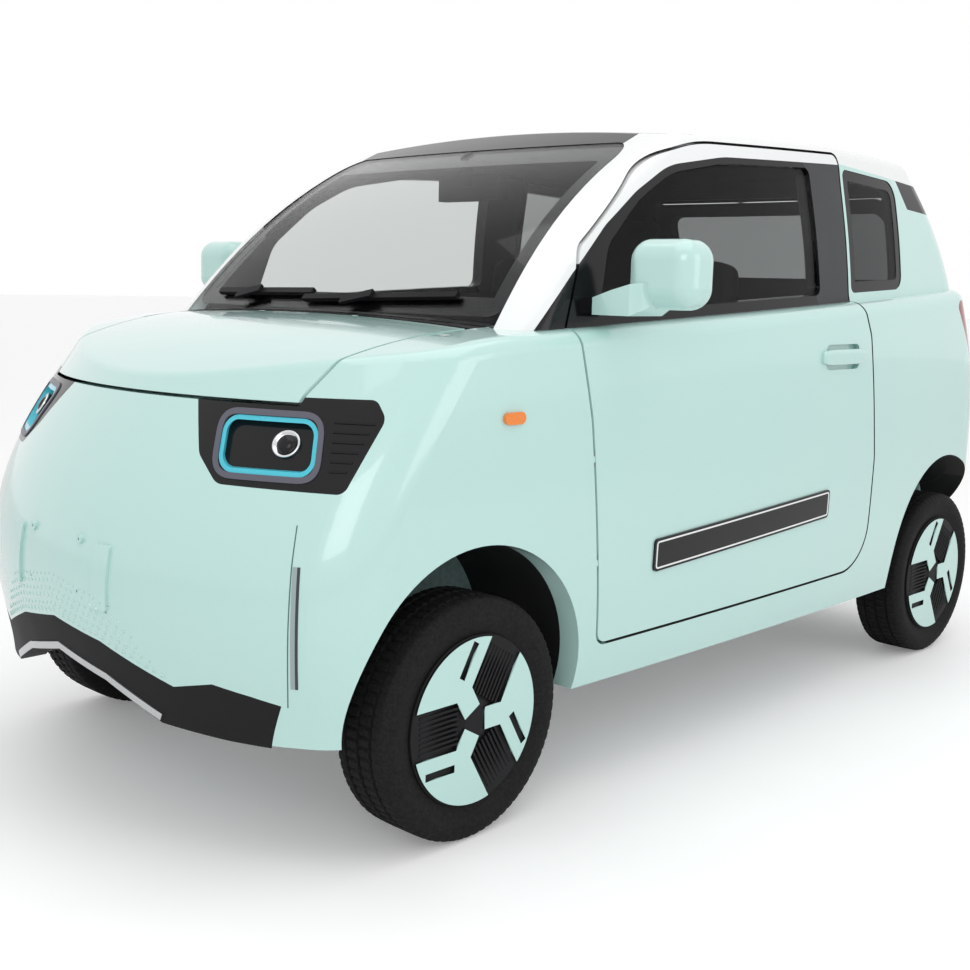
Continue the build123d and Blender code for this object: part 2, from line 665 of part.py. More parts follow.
# Floor, bay, boot and wheel wells
floor_blocks = [
    block((BOOT_X - 20, BULKHEAD_X[1]), (-far, far), FLOOR_Z),
    block(BULKHEAD_X, (-far, far), (FLOOR_Z[0], 1035)),
    block((BULKHEAD_X[0], 1465), (-WELL_F_Y, WELL_F_Y), BAY_Z),
    block((BULKHEAD_X[0], 1465), (WELL_F_Y - 10, WELL_F_Y), (BAY_Z[0], 860)),
    block((BULKHEAD_X[0], 1465), (-WELL_F_Y, 10 - WELL_F_Y), (BAY_Z[0], 860)),
    block((1435, 1465), (-far, far), (BAY_Z[0], 640)),
    block((BOOT_X - 20, BOOT_X), (-far, far), (FLOOR_Z[0], BOOT_Z[1])),
    block((REAR, BOOT_X), (-far, far), BOOT_Z),
    block((AXLE_R - 380, BOOT_X), (WELL_R_Y - 10, WELL_R_Y), (TYRE_R + 44, 690)),
    block((AXLE_R - 380, BOOT_X), (-WELL_R_Y, 10 - WELL_R_Y), (TYRE_R + 44, 690)),
]
well_f = bar_y(AXLE_F, ARCH_F_Z, ARCH_F_R + LINER, WELL_F_Y, 900)
well_r = bar_y(AXLE_R, ARCH_R_Z, ARCH_R_R + LINER, WELL_R_Y, 900)
wells = [well_f, well_r, right_side(well_f), right_side(well_r)]
with BuildPart() as floor_parts:
    for piece in floor_blocks:
        add(piece)
under_lip = combine(front_zone_below(LIP_BOTTOM), keep=[block((BUMPER_X, far), (-far, far), (0, far))])
door_room = block((560, 720), (640, far), (SILL_TOP, far))
floor_pan = combine(
    floor_parts.part, keep=[lower_in], cut=wells + [under_lip, door_room, right_side(door_room)])
save(floor_pan, "floor_pan")
liner_box = block((-far, far), (0, far), (SILL_BOTTOM, far))
liner_f = combine(well_f, keep=[lower_in, liner_box], cut=[arch_f])
liner_r = combine(well_r, keep=[lower_in, liner_box], cut=[arch_r])
with BuildPart() as liners:
    add(both_sides(liner_f))
    add(both_sides(liner_r))
save(liners.part, "arch_liners")
save(block((-700, 450), (-480, 480), (190, FLOOR_Z[0])), "battery_pack")
save(block((740, 1150), (-280, 280), (BAY_Z[1], 580)), "drive_unit")

# Cabin
dash_body = side_prism(DASH, y_from=-600, y_to=600)
screen = block((520, 560), (20, 300), (1030, 1130))
lean = radians(STEER_LEAN)
column_dir = Vector(cos(lean), 0, -sin(lean))
hub_point = Vector(*STEER_HUB)
column_plane = Plane(origin=hub_point + column_dir * 40, z_dir=column_dir)
with BuildPart() as column:
    with BuildSketch(column_plane):
        Circle(34)
    extrude(amount=200)
with BuildPart() as hub_room:
    with BuildSketch(Plane(origin=hub_point, z_dir=column_dir)):
        Circle(40)
    extrude(amount=40)
save(combine(dash_body, keep=[block((0, far), (-600, 600), (0, far))], join=[screen, column.part],
             cut=[block((BULKHEAD_X[0], far), (-far, far), (0, far)), hub_room.part]), "dashboard")
wheel_plane = Plane(origin=hub_point, x_dir=(0, 1, 0), z_dir=column_dir)
grip_point = hub_point + Vector(0, STEER_R, 0)
grip_plane = Plane(origin=grip_point, x_dir=(0, 1, 0), z_dir=(sin(lean), 0, cos(lean)))
with BuildPart() as steering:
    with BuildSketch(grip_plane):
        Circle(STEER_GRIP_R)
    revolve(axis=Axis(hub_point, column_dir))
    with BuildSketch(wheel_plane.offset(-12)):
        Circle(62)
        Rectangle(2 * STEER_R, 44)
        with Locations((0, -STEER_R / 2)):
            Rectangle(40, STEER_R)
    extrude(amount=24)
    with BuildSketch(wheel_plane):
        Circle(20)
    extrude(amount=40 - FIT)
save(steering.part, "steering_wheel")

seat_shape = side_prism(SEAT_SIDE, y_from=SEAT_Y - 225, y_to=SEAT_Y + 225)
head_rest = block((-330, -235), (SEAT_Y - 125, SEAT_Y + 125), (1075, 1260))
seat_post = block((-295, -270), (SEAT_Y - 60, SEAT_Y + 60), (1000, 1100))
seat_base = block((-200, 240), (SEAT_Y - 180, SEAT_Y + 180), (FLOOR_Z[1], 440))
seat = combine(seat_shape, join=[head_rest, seat_post, seat_base])
save(both_sides(seat), "front_seats")
bench = side_prism(BENCH_SIDE, y_from=-480, y_to=480)
bench_base = block((BOOT_X, -620), (-440, 440), (FLOOR_Z[1], BOOT_Z[1] - 180))
save(combine(bench, join=[bench_base]), "rear_bench")
mirror_arm = combine(block((318, 350), (-12, 12), (1440, 1530)), keep=[upper_body(9)])
save(combine(block((300, 330), (-115, 115), (1400, 1465)), join=[mirror_arm]), "interior_mirror")


def skin_y(solid, x, z):
    """Y of the left outer face of a solid at x, z"""
    return max(point.Y for point, normal in solid.find_intersection_points(Axis((x, far, z), (0, -1, 0))))


def skin_x(solid, y, z):
    """X of the rear outer face of a solid at y, z"""
    return min(point.X for point, normal in solid.find_intersection_points(Axis((-far, y, z), (1, 0, 0))))


def skin_z(solid, x, y):
    """Z of the upper face of a solid at x, y"""
    return max(point.Z for point, normal in solid.find_intersection_points(Axis((x, y, far), (0, 0, -1))))


def hinge_pin(place, gap, pin_r):
    """Pin across a gap with two tabs that reach the fixed panel, which lies toward +X of place"""
    with BuildPart() as pin:
        with BuildSketch(place.offset(-HINGE_LENGTH / 2)):
            Circle(pin_r)
        extrude(amount=HINGE_LENGTH)
        for start in (-HINGE_LENGTH / 2, HINGE_LENGTH / 2 - 8):
            with BuildSketch(place.offset(start)):
                with Locations(((gap / 2 - pin_r) / 2, 0)):
                    Rectangle(gap / 2 + pin_r, 2 * pin_r)
            extrude(amount=8)
    return pin.part


def hinge_knuckle(place, gap, pin_r):
    """Knuckle round a pin, joined to the moving panel, which lies toward -X of place"""
    with BuildPart() as knuckle_eye:
        with BuildSketch(place.offset(-7)):
            Circle(gap / 2 - 0.5)
            with Locations((-gap / 4 - 2, 0)):
                Rectangle(gap / 2 + 4, 2 * pin_r)
            Circle(pin_r + FIT, mode=Mode.SUBTRACT)
        extrude(amount=14)
    return knuckle_eye.part


# Door hinges stand on a line through two points in the front gap of the door
low_corner, high_corner = DOOR[0], DOOR[1]
door_slope = (high_corner[0] - low_corner[0]) / (high_corner[1] - low_corner[1])
gap_shift = GAP / 2 * hypot(1, door_slope)
hinge_points = []
for level in DOOR_HINGE_Z:
    line_x = low_corner[0] + door_slope * (level - low_corner[1]) + gap_shift
    hinge_points.append(Vector(line_x, skin_y(lower_out, line_x, level) - DOOR_HINGE_DEPTH, level))
door_axis = (hinge_points[1] - hinge_points[0]).normalized()
toward_fender = Vector(1, 0, -door_slope).normalized()
door_pins = []
door_eyes = []
for point in hinge_points:
    place = Plane(origin=point, x_dir=toward_fender, z_dir=door_axis)
    door_pins.append(hinge_pin(place, GAP, DOOR_PIN_R))
    door_eyes.append(hinge_knuckle(place, GAP, DOOR_PIN_R))
print("door axis", [round(v, 3) for v in hinge_points[0]], [round(v, 5) for v in door_axis])

hood_x = (HOOD[4][0] + COWL_X) / 2
hood_z = skin_z(lower_out, hood_x, HOOD_HINGE_Y) - LID_HINGE_DEPTH
hatch_z = TAILGATE[0][1] + LID_GAP / 2
hatch_x = skin_x(upper_out, HATCH_HINGE_Y, hatch_z) + LID_HINGE_DEPTH
print("hood axis", round(hood_x, 2), round(hood_z, 2), "hatch axis", round(hatch_x, 2), round(hatch_z, 2))
lid_pins = []
hood_eyes = []
hatch_eyes = []
for side in (1, -1):
    hood_place = Plane(origin=(hood_x, side * HOOD_HINGE_Y, hood_z), x_dir=(-1, 0, 0), z_dir=(0, 1, 0))
    hatch_place = Plane(origin=(hatch_x, side * HATCH_HINGE_Y, hatch_z), x_dir=(0, 0, 1), z_dir=(0, 1, 0))
    lid_pins.append(hinge_pin(hood_place, LID_GAP, LID_PIN_R))
    lid_pins.append(hinge_pin(hatch_place, LID_GAP, LID_PIN_R))
    hood_eyes.append(hinge_knuckle(hood_place, LID_GAP, LID_PIN_R))
    hatch_eyes.append(hinge_knuckle(hatch_place, LID_GAP, LID_PIN_R))
with BuildPart() as pins:
    for piece in lid_pins:
        add(piece)
    for piece in door_pins:
        add(both_sides(piece))
save(pins.part, "hinge_pins")
save(combine(hood, join=hood_eyes), "hood")
save(combine(tailgate, join=hatch_eyes), "tailgate")
door = combine(door, join=door_eyes)

# Door furniture
pocket_layer = combine(lower_out, cut=[lower_body(POCKET_DEPTH, POCKET_DEPTH)])
door = combine(door, cut=[combine(side_prism(HANDLE_POCKET), keep=[pocket_layer])])
handle_y = skin_y(lower_out, *HANDLE_MIDDLE)
with BuildPart() as handle:
    with BuildSketch(Plane.XZ.offset(-(handle_y - 6))):
        with BuildLine():
            FilletPolyline(*corner_points(HANDLE), radius=corner_radii(HANDLE), close=True)
        make_face()
    extrude(amount=-18)
pad_layer = combine(lower_body(-5, -5), cut=[lower_out])
door_pad = combine(side_prism(DOOR_PAD), keep=[pad_layer])
with BuildPart() as mirror_shell:
    add(block(*MIRROR_BOX))
    fillet(mirror_shell.edges(), MIRROR_ROUNDING)
mirror_foot = combine(block(*MIRROR_FOOT), cut=[mirror_shell.part, door_glass])
door_trim = combine(door_trim, join=[mirror_foot, door_pad])
LEFT_COLUMNS = ("name", "solid")
LEFT_ROWS = [
    ("door", combine(door, join=[handle.part])),
    ("door_frame", door_frame),
    ("door_trim", door_trim),
    ("door_glass", door_glass),
    ("mirror", mirror_shell.part),
]
for row in rows_as_dicts(LEFT_COLUMNS, LEFT_ROWS):
    save(row["solid"], row["name"] + "_left")
    save(right_side(row["solid"]), row["name"] + "_right")

# Lamps
ring_u, ring_z, ring_width, ring_height, ring_corner = LAMP_RING
ring_left, ring_right = ring_u - ring_width / 2, ring_u + ring_width / 2
ring_low, ring_high = ring_z - ring_height / 2, ring_z + ring_height / 2
RING = [
    (ring_left, ring_high, ring_corner), (ring_right, ring_high, ring_corner),
    (ring_right, ring_low, ring_corner), (ring_left, ring_low, ring_corner),
]
lamp_layer = combine(lower_out, cut=[lower_body(14, 14)])
ring_zone = combine(lamp_prism(RING), cut=[lamp_prism(RING, grow=-LAMP_TUBE)])
lamp_ring = combine(ring_zone, keep=[lamp_layer])
headlamp = combine(headlamp, cut=[combine(lamp_prism(RING), keep=[lamp_layer])])
save(both_sides(headlamp), "headlamps")
save(both_sides(lamp_ring), "headlamp_rings")
repeater_y = skin_y(lower_out, *REPEATER_MIDDLE)
with BuildPart() as repeater:
    with BuildSketch(Plane.XZ.offset(-(repeater_y - 1))):
        with Locations(REPEATER_MIDDLE):
            SlotOverall(62, 26)
    extrude(amount=-8)
save(both_sides(combine(repeater.part, cut=[lower_out])), "side_repeaters")
save(cowl_panel, "cowl_panel")
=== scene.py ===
import json
import math

import bmesh
import bpy
from mathutils import Matrix, Vector
from mathutils.bvhtree import BVHTree


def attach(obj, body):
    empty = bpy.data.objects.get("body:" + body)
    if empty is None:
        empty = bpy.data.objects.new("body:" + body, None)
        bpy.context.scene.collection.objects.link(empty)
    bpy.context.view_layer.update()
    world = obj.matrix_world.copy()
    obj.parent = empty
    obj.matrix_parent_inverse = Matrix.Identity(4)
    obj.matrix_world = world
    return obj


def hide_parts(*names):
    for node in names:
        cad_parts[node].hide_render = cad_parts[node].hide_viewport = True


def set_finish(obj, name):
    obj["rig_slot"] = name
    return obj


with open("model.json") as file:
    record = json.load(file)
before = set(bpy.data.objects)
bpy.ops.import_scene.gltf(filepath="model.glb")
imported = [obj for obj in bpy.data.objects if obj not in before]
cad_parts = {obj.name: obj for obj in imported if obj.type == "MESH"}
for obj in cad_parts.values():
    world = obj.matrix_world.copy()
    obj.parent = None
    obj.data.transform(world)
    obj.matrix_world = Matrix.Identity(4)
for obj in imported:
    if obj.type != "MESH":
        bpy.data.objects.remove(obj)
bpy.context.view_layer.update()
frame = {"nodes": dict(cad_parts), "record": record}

NODES = frame["nodes"]

# Camera, found from the photograph: place in metres, angles in degrees, focal length in pixels of
# the frame
CAMERA_PLACE = (2.88974, 2.51969, 1.18329)
CAMERA_YAW = 223.5115
CAMERA_PITCH = -8.8852
CAMERA_ROLL = 1.4515
FOCAL_PIXELS = 1293.854
FRAME_PIXELS = 970
SENSOR_MM = 36

# Places of the wheels in metres
AXLE_X = {"fl": 0.985, "fr": 0.985, "rl": -1.205, "rr": -1.205}
WHEEL_SIDE = {"fl": 1, "fr": -1, "rl": 1, "rr": -1}
WHEEL_Y = 0.627
TYRE_R = 0.266

# Finishes: colours are linear, scale is that of the grain, and the colour changes by a share of itself
FINISH_COLUMNS = (
    "name", "colour", "colour_change", "scale", "roughness", "roughness_change", "bump", "metallic",
    "coat", "specular")
FINISH_ROWS = [
    ("mint_paint", (0.47, 0.70, 0.66), 0.025, 900, 0.24, 0.05, 0.015, 0.0, 1.0, 0.5),
    ("white_paint", (0.80, 0.82, 0.82), 0.02, 900, 0.24, 0.05, 0.015, 0.0, 1.0, 0.5),
    ("black_gloss", (0.006, 0.006, 0.007), 0.2, 300, 0.14, 0.05, 0.01, 0.0, 0.0, 0.3),
    ("black_plastic", (0.012, 0.012, 0.013), 0.25, 700, 0.55, 0.10, 0.2, 0.0, 0.0, 0.15),
    ("grey_plastic", (0.055, 0.057, 0.060), 0.2, 700, 0.5, 0.10, 0.15, 0.0, 0.0, 0.2),
    ("tyre_rubber", (0.012, 0.012, 0.012), 0.35, 160, 0.72, 0.12, 0.3, 0.0, 0.0, 0.12),
    ("steel", (0.25, 0.25, 0.26), 0.2, 250, 0.42, 0.12, 0.1, 0.9, 0.0, 0.5),
    ("chrome", (0.72, 0.73, 0.74), 0.05, 250, 0.14, 0.05, 0.01, 1.0, 0.0, 0.5),
    ("cast_case", (0.42, 0.43, 0.44), 0.15, 400, 0.5, 0.12, 0.3, 0.8, 0.0, 0.5),
    ("lining", (0.045, 0.044, 0.042), 0.15, 500, 0.85, 0.06, 0.1, 0.0, 0.0, 0.1),
    ("silver", (0.55, 0.56, 0.57), 0.06, 500, 0.28, 0.06, 0.04, 0.9, 0.3, 0.5),
    # painted shade of the recessed corner slots, laid on a flat sheet
    ("slot_grey", (0.30, 0.38, 0.38), 0.06, 500, 0.4, 0.06, 0.04, 0.0, 0.0, 0.4),
    ("bezel_grey", (0.10, 0.10, 0.13), 0.08, 500, 0.35, 0.06, 0.04, 0.0, 0.0, 0.4),
    ("seal_line", (0.10, 0.16, 0.15), 0.1, 400, 0.6, 0.08, 0.05, 0.0, 0.0, 0.2),
    ("floor_paint", (0.20, 0.30, 0.29), 0.15, 90, 0.5, 0.10, 0.05, 0.0, 0.0, 0.3),
    ("seat_cloth", (0.018, 0.018, 0.020), 0.3, 700, 0.85, 0.08, 0.3, 0.0, 0.0, 0.1),
    ("lamp_red", (0.26, 0.004, 0.006), 0.1, 300, 0.12, 0.03, 0.02, 0.0, 0.3, 0.4),
    ("lamp_amber", (0.85, 0.22, 0.015), 0.1, 300, 0.15, 0.03, 0.03, 0.0, 0.8, 0.5),
    ("lamp_ring", (0.05, 0.42, 0.52), 0.08, 300, 0.2, 0.05, 0.02, 0.0, 0.3, 0.4),
    ("stage", (0.92, 0.92, 0.92), 0.01, 3, 0.6, 0.05, 0.0, 0.0, 0.0, 0.3),
]
GRAIN_DETAIL = 3
CLOUD_SCALE = 6
DARK_TONE_AT = 0.3
LIGHT_TONE_AT = 0.7
BUMP_DISTANCE = 0.0008
COAT_ROUGHNESS = 0.04


def finish_nodes(row):
    """Material whose colour, roughness and surface vary finely in the piece's own space"""
    material = bpy.data.materials.new(row["name"])
    material.use_nodes = True
    tree = material.node_tree
    shader = tree.nodes["Principled BSDF"]
    place = tree.nodes.new("ShaderNodeTexCoord")
    grain = tree.nodes.new("ShaderNodeTexNoise")
    grain.inputs["Scale"].default_value = row["scale"]
    grain.inputs["Detail"].default_value = GRAIN_DETAIL
    tree.links.new(place.outputs["Object"], grain.inputs["Vector"])
    cloud = tree.nodes.new("ShaderNodeTexNoise")
    cloud.inputs["Scale"].default_value = CLOUD_SCALE
    tree.links.new(place.outputs["Object"], cloud.inputs["Vector"])
    tones = tree.nodes.new("ShaderNodeValToRGB")
    shares = (1 - row["colour_change"], 1 + row["colour_change"])
    for element, share in zip(tones.color_ramp.elements, shares):
        element.color = (*[min(channel * share, 1) for channel in row["colour"]], 1)
    tones.color_ramp.elements[0].position = DARK_TONE_AT
    tones.color_ramp.elements[1].position = LIGHT_TONE_AT
    tree.links.new(grain.outputs["Fac"], tones.inputs["Fac"])
    tree.links.new(tones.outputs["Color"], shader.inputs["Base Color"])
    gloss = tree.nodes.new("ShaderNodeMapRange")
    gloss.inputs["To Min"].default_value = row["roughness"] - row["roughness_change"]
    gloss.inputs["To Max"].default_value = row["roughness"] + row["roughness_change"]
    tree.links.new(cloud.outputs["Fac"], gloss.inputs["Value"])
    tree.links.new(gloss.outputs["Result"], shader.inputs["Roughness"])
    bump = tree.nodes.new("ShaderNodeBump")
    bump.inputs["Strength"].default_value = row["bump"]
    bump.inputs["Distance"].default_value = BUMP_DISTANCE
    tree.links.new(grain.outputs["Fac"], bump.inputs["Height"])
    tree.links.new(bump.outputs["Normal"], shader.inputs["Normal"])
    shader.inputs["Metallic"].default_value = row["metallic"]
    shader.inputs["Specular IOR Level"].default_value = row["specular"]
    shader.inputs["Coat Weight"].default_value = row["coat"]
    shader.inputs["Coat Roughness"].default_value = COAT_ROUGHNESS
    return material


FINISH = {}
for values in FINISH_ROWS:
    FINISH[values[0]] = finish_nodes(dict(zip(FINISH_COLUMNS, values)))


GLASS_TINTS = {
    "glass": (0.90, 0.92, 0.91), "door_glass": (0.66, 0.68, 0.67), "dark_glass": (0.26, 0.27, 0.27)}
GLASS_IOR = 1.14
DUST_SCALE = 40
DUST_ROUGHNESS = 0.01


def glass_finish(name, tint):
    """Clear pane with a faint film of dust"""
    material = bpy.data.materials.new(name)
    material.use_nodes = True
    tree = material.node_tree
    shader = tree.nodes["Principled BSDF"]
    shader.inputs["Base Color"].default_value = (*tint, 1)
    shader.inputs["Transmission Weight"].default_value = 1
    shader.inputs["IOR"].default_value = GLASS_IOR
    dust = tree.nodes.new("ShaderNodeTexNoise")
    dust.inputs["Scale"].default_value = DUST_SCALE
    place = tree.nodes.new("ShaderNodeTexCoord")
    tree.links.new(place.outputs["Object"], dust.inputs["Vector"])
    film = tree.nodes.new("ShaderNodeMapRange")
    film.inputs["To Min"].default_value = 0
    film.inputs["To Max"].default_value = DUST_ROUGHNESS
    tree.links.new(dust.outputs["Fac"], film.inputs["Value"])
    tree.links.new(film.outputs["Result"], shader.inputs["Roughness"])
    return material


for glass_name, tint in GLASS_TINTS.items():
    FINISH[glass_name] = glass_finish(glass_name, tint)

# The ring in each head lamp glows a little
RING_GLOW_COLOUR = (0.05, 0.42, 0.52, 1)
RING_GLOW = 0.25
ring_shader = FINISH["lamp_ring"].node_tree.nodes["Principled BSDF"]
ring_shader.inputs["Emission Color"].default_value = RING_GLOW_COLOUR
ring_shader.inputs["Emission Strength"].default_value = RING_GLOW

# Finish of each CAD node: that with the name of its material slot in the record, apart from these slots
SLOT_FINISH = {"tyre": "tyre_rubber", "wheel_cover": "black_plastic"}
for part in frame["record"]["subparts"]:
    slot = part["material_slot"]
    node = NODES[part["node"]]
    node.data.materials.clear()
    node.data.materials.append(FINISH[SLOT_FINISH.get(slot, slot)])


def paint_faces(node_name, finish_name, wanted):
    """Give the faces of a CAD node that pass the test another finish"""
    mesh = NODES[node_name].data
    mesh.materials.append(FINISH[finish_name])
    index = len(mesh.materials) - 1
    for face in mesh.polygons:
        if wanted(face):
            face.material_index = index


# Outer faces of the wheel blades are mint, and the post behind each door window is grey; sizes in metres
BLADE_FACE_Y = 0.0755
POST_FRONT_X = -0.365
POST_FOOT_Z = 1.16
POST_FACING = 0.7


def on_blade(face):
    return abs(face.center.y) > WHEEL_Y + BLADE_FACE_Y


def on_post(face):
    in_place = face.center.x < POST_FRONT_X and face.center.z > POST_FOOT_Z
    return in_place and abs(face.normal.y) > POST_FACING


for suffix in WHEEL_SIDE:
    paint_faces("wheel_" + suffix, "mint_paint", on_blade)
NODES["quarter_glass"].data.materials[0] = FINISH["dark_glass"]
NODES["tailgate_glass"].data.materials[0] = FINISH["dark_glass"]
for side_name in ("left", "right"):
    NODES["door_glass_" + side_name].data.materials[0] = FINISH["door_glass"]
    paint_faces("door_trim_" + side_name, "grey_plastic", on_post)

# Rear wheel arches are dark inside; sizes in metres, and facing is the least share turned to the centre
REAR_ARCH = {"x": AXLE_X["rl"], "z": 0.325, "radius": 0.338, "reach": 0.003, "facing": 0.9}


def in_rear_arch(face):
    inward = Vector((REAR_ARCH["x"] - face.center.x, 0, REAR_ARCH["z"] - face.center.z))
    at_radius = abs(inward.length - REAR_ARCH["radius"]) < REAR_ARCH["reach"]
    return at_radius and face.normal.dot(inward.normalized()) > REAR_ARCH["facing"]


paint_faces("body_sides", "black_plastic", in_rear_arch)
paint_faces("rear_bumper", "black_plastic", in_rear_arch)

# Faces of the walls whose plane lies far enough from the middle of the cabin, and that look to it, carry
# a lining; lengths in metres
CABIN_LOW = Vector((-1.46, -0.72, 0.33))
CABIN_HIGH = Vector((0.60, 0.72, 1.60))
CABIN_MIDDLE = Vector((-0.35, 0, 0.95))
LINING_DISTANCE = 0.12


def faces_cabin(face):
    inside = all(low < here < high for low, here, high in zip(CABIN_LOW, face.center, CABIN_HIGH))
    return inside and face.normal.dot(CABIN_MIDDLE - face.center) > LINING_DISTANCE


for lined in ("roof_panel", "roof_frame", "body_sides", "door_left", "door_right", "door_frame_left",
              "door_frame_right", "tailgate"):
    paint_faces(lined, "lining", faces_cabin)


def new_object(name, mesh_maker, finish_name, body, slot_name):
    """Object from a function that fills a bmesh, given a finish and a body to ride on"""
    mesh = bpy.data.meshes.new(name)
    work = bmesh.new()
    mesh_maker(work)
    work.normal_update()
    work.to_mesh(mesh)
    work.free()
    for face in mesh.polygons:
        face.use_smooth = True
    mesh.materials.append(FINISH[finish_name])
    made = bpy.data.objects.new(name, mesh)
    bpy.context.scene.collection.objects.link(made)
    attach(made, body)
    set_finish(made, slot_name)
    return made


# Tyres: tread of four rows of blocks between three grooves. The section of the outer half is given as place
# along the axle and radius in metres, and row of blocks, with 0 for none
TREAD_STEPS = 288
BLOCK_PITCH = 4
TREAD_EDGE_ANGLE = math.radians(35)
TREAD_DEPTH = {0: 0.0, 1: 0.0022, 2: 0.0045, 3: 0.0022, 4: 0.0045}
ROWS_PER_HALF = 2
TYRE_SECTION = [
    (0.062, 0.175, 0), (0.0665, 0.190, 0), (0.0715, 0.206, 0), (0.0765, 0.222, 0), (0.0770, 0.232, 0),
    (0.0755, 0.246, 0), (0.0720, 0.255, 1), (0.0660, 0.2625, 1), (0.0600, 0.2650, 1),
    (0.0420, 0.2658, 1), (0.0400, 0.2590, 0), (0.0350, 0.2590, 0), (0.0330, 0.2660, 2),
    (0.0050, 0.2660, 2), (0.0035, 0.2590, 0),
]


def tyre_mesh(axle_x, side):
    section = list(TYRE_SECTION)
    for along, radius, row in reversed(TYRE_SECTION):
        section.append((-along, radius, row + ROWS_PER_HALF if row else 0))

    def fill(work):
        rings = []
        for step in range(TREAD_STEPS):
            angle = 2 * math.pi * step / TREAD_STEPS
            ring = []
            for along, radius, row in section:
                in_gap = (step + row) % BLOCK_PITCH == 0
                reach = radius - TREAD_DEPTH[row] if in_gap else radius
                x = axle_x + reach * math.cos(angle)
                z = TYRE_R + reach * math.sin(angle)
                ring.append(work.verts.new((x, side * (WHEEL_Y + along), z)))
            rings.append(ring)
        for step in range(TREAD_STEPS):
            here, there = rings[step], rings[(step + 1) % TREAD_STEPS]
            for point in range(len(section)):
                other = (point + 1) % len(section)
                work.faces.new((here[point], here[other], there[other], there[point]))
        bmesh.ops.recalc_face_normals(work, faces=work.faces)

    return fill


for suffix, side in WHEEL_SIDE.items():
    tyre = new_object(
        "tread_" + suffix, tyre_mesh(AXLE_X[suffix], side), "tyre_rubber", "wheel_" + suffix, "tyre")
    tyre.data.set_sharp_from_angle(angle=TREAD_EDGE_ANGLE)
    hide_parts("tyre_" + suffix)


# Cushions: power of their rounding, and the half width and depth of channels as shares of their size
CUSHION_CUTS = 23
CUSHION_POWER = 5
CHANNEL_HALF = 0.06
CHANNEL_DEPTH = 0.16


def rounded_cushion(half, channels):
    """Crowned closed form with sewn channels across its width; half lengths along X, Y and Z"""

    def fill(work):
        bmesh.ops.create_cube(work, size=2)
        bmesh.ops.subdivide_edges(work, edges=work.edges, cuts=CUSHION_CUTS, use_grid_fill=True)
        for vertex in work.verts:
            spread = sum(abs(c) ** CUSHION_POWER for c in vertex.co) ** (1 / CUSHION_POWER)
            vertex.co /= spread
            groove = 0
            for channel in channels:
                groove = max(groove, 1 - abs(vertex.co.y - channel) / CHANNEL_HALF)
            squeeze = 1 - CHANNEL_DEPTH * max(groove, 0)
            x, y, z = (share * length for share, length in zip(vertex.co, half))
            vertex.co = Vector((x, y, z * squeeze))

    return fill


def soft_piece(name, half, place, lean, channels, node):
    piece = new_object(name, rounded_cushion(half, channels), "seat_cloth", "body", "seat_cloth")
    turn = Matrix.Translation(place) @ Matrix.Rotation(math.radians(lean), 4, "Y")
    piece.data.transform(turn)
    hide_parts(node)


# Rows give a name, half lengths, x and z of the middle, lean in degrees, and channels as shares of the width
SEAT_Y = 0.33
SEAT_ROWS = [
    ("seat_cushion", (0.24, 0.225, 0.065), 0.075, 0.45, -4, (-0.45, 0.45)),
    ("seat_back", (0.065, 0.225, 0.30), -0.235, 0.76, -11, (-0.5, 0.5)),
    ("head_rest", (0.048, 0.125, 0.092), -0.283, 1.167, -8, ()),
]
BENCH_ROWS = [
    ("bench_cushion", (0.16, 0.48, 0.07), -0.72, 0.49, -14, (-0.5, 0, 0.5)),
    ("bench_back", (0.06, 0.48, 0.26), -0.985, 0.81, -14, (-0.5, 0, 0.5)),
]
for label, side in (("left", 1), ("right", -1)):
    for name, half, x, z, lean, channels in SEAT_ROWS:
        soft_piece(f"{name}_{label}", half, (x, side * SEAT_Y, z), lean, channels, "front_seats")
for name, half, x, z, lean, channels in BENCH_ROWS:
    soft_piece(name, half, (x, 0, z), lean, channels, "rear_bench")


def tree_of(*node_names):
    """Search tree over the surfaces of some CAD nodes"""
    points, faces = [], []
    for node_name in node_names:
        mesh = NODES[node_name].data
        start = len(points)
        points += [vertex.co.copy() for vertex in mesh.vertices]
        faces += [[start + index for index in face.vertices] for face in mesh.polygons]
    return BVHTree.FromPolygons(points, faces)


# Ways to look at the car: two coordinates in metres give a start point and a direction onto its surface. The
# lamp view looks at the left front corner
SIDE_START = 2
END_START = 3
LAMP_TURN = math.radians(40)
LAMP_OUT = Vector((math.cos(LAMP_TURN), math.sin(LAMP_TURN), 0))
LAMP_ACROSS = Vector((-math.sin(LAMP_TURN), math.cos(LAMP_TURN), 0))
LOOK = {
    "left": lambda a, b: (Vector((a, SIDE_START, b)), Vector((0, -1, 0))),
    "front": lambda a, b: (Vector((END_START, a, b)), Vector((-1, 0, 0))),
    "rear": lambda a, b: (Vector((-END_START, a, b)), Vector((1, 0, 0))),
    "lamp": lambda a, b: (LAMP_OUT * END_START + LAMP_ACROSS * a + Vector((0, 0, b)), -LAMP_OUT),
}


def surface_point(tree, look, spot, lift):
    """Point on the surface seen from a side, moved out of it by lift"""
    start, toward = LOOK[look](*spot)
    place, normal = tree.ray_cast(start, toward)[:2]
    if place is None:
        raise ValueError(f"nothing at {spot} in the {look} view")
    if normal.dot(toward) > 0:
        normal = -normal
    return place + normal * lift


def hits(tree, look, spot):
    """Whether there is a surface at a place seen from a side"""
    return tree.ray_cast(*LOOK[look](*spot))[0] is not None


CORNER_STEPS = 8
SAME_POINT = 1e-5


